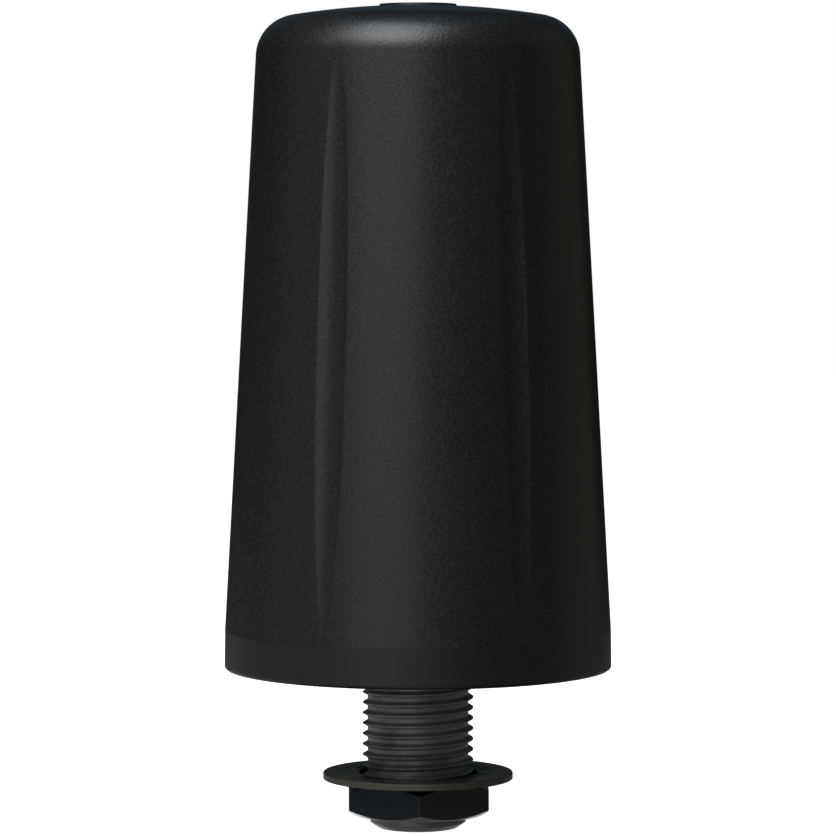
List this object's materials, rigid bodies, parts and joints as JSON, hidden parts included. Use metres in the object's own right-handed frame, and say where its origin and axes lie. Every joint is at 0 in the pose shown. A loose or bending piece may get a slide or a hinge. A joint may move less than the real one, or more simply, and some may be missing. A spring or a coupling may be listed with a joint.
{
  "type": "gnss receiver",
  "caption": "Satellite receiver with a helical antenna under a tall tapered radome, fixed through a panel by a hollow threaded stud, washer and hex nut.",
  "frame": {"origin": "centre of the mounting face, the underside of the base gasket, on the stud's axis", "axes": "+Z along the stud's axis towards the crown, -Y the front, +X to the right seen from the front"},
  "size_m": [0.0556, 0.0556, 0.1181],
  "materials": {
    "radome_plastic": "fine spark-eroded texture",
    "base_plastic": "fine spark-eroded texture",
    "rubber": "matt",
    "stud_metal": "dark satin plating",
    "washer_metal": "dark satin plating",
    "nut_metal": "gloss black",
    "steel": "satin",
    "connector_metal": "nickel plated",
    "gold": "gold plated",
    "brass": "turned",
    "copper": "bright copper",
    "tin_shield": "tinned",
    "circuit_board": "solder resist",
    "chip_plastic": "matt",
    "white_plastic": "satin",
    "wire_jacket": "satin",
    "foam": "matt"
  },
  "bodies": {
    "housing": {"radome": "radome_plastic", "radome_seal": "rubber", "base_housing": "base_plastic", "base_screws": "steel", "vent_plug": "chip_plastic", "mounting_gasket": "rubber", "threaded_stud": "stud_metal", "stud_seal": "rubber", "stud_screws": "steel", "connector_shell": "connector_metal", "connector_seal": "rubber", "connector_insulator": "chip_plastic", "connector_contacts": "gold", "connector_circlip": "steel", "inner_harness": "wire_jacket", "harness_plug": "white_plastic", "board_header": "chip_plastic", "board_spacers": "brass", "main_board": "circuit_board", "receiver_shield": "tin_shield", "gnss_module": "tin_shield", "board_chips": "chip_plastic", "backup_cell": "tin_shield", "upper_spacers": "brass", "antenna_lead": "gold", "feed_board": "circuit_board", "feed_screws": "steel", "lna_shield": "tin_shield", "helix_former": "white_plastic", "helix_arms": "copper", "feed_pins": "gold", "helix_cap": "white_plastic", "crown_pad": "foam"},
    "washer": {"flat_washer": "washer_metal"},
    "nut": {"hex_nut": "nut_metal"}
  },
  "joints": [
    {"name": "washer_slide", "type": "slide", "parent": "housing", "child": "washer", "axis": [0, 0, 1], "range_m": [-0.003, 0.0132]},
    {"name": "nut_spin", "type": "hinge", "parent": "washer", "child": "nut", "pos_m": [0, 0, -0.018], "axis": [0, 0, 1], "range_deg": [-720, 3168]}
  ],
  "couplings": [
    {"joint": "washer_slide", "follows": "nut_spin", "m_per_rad": 0.00023873}
  ]
}
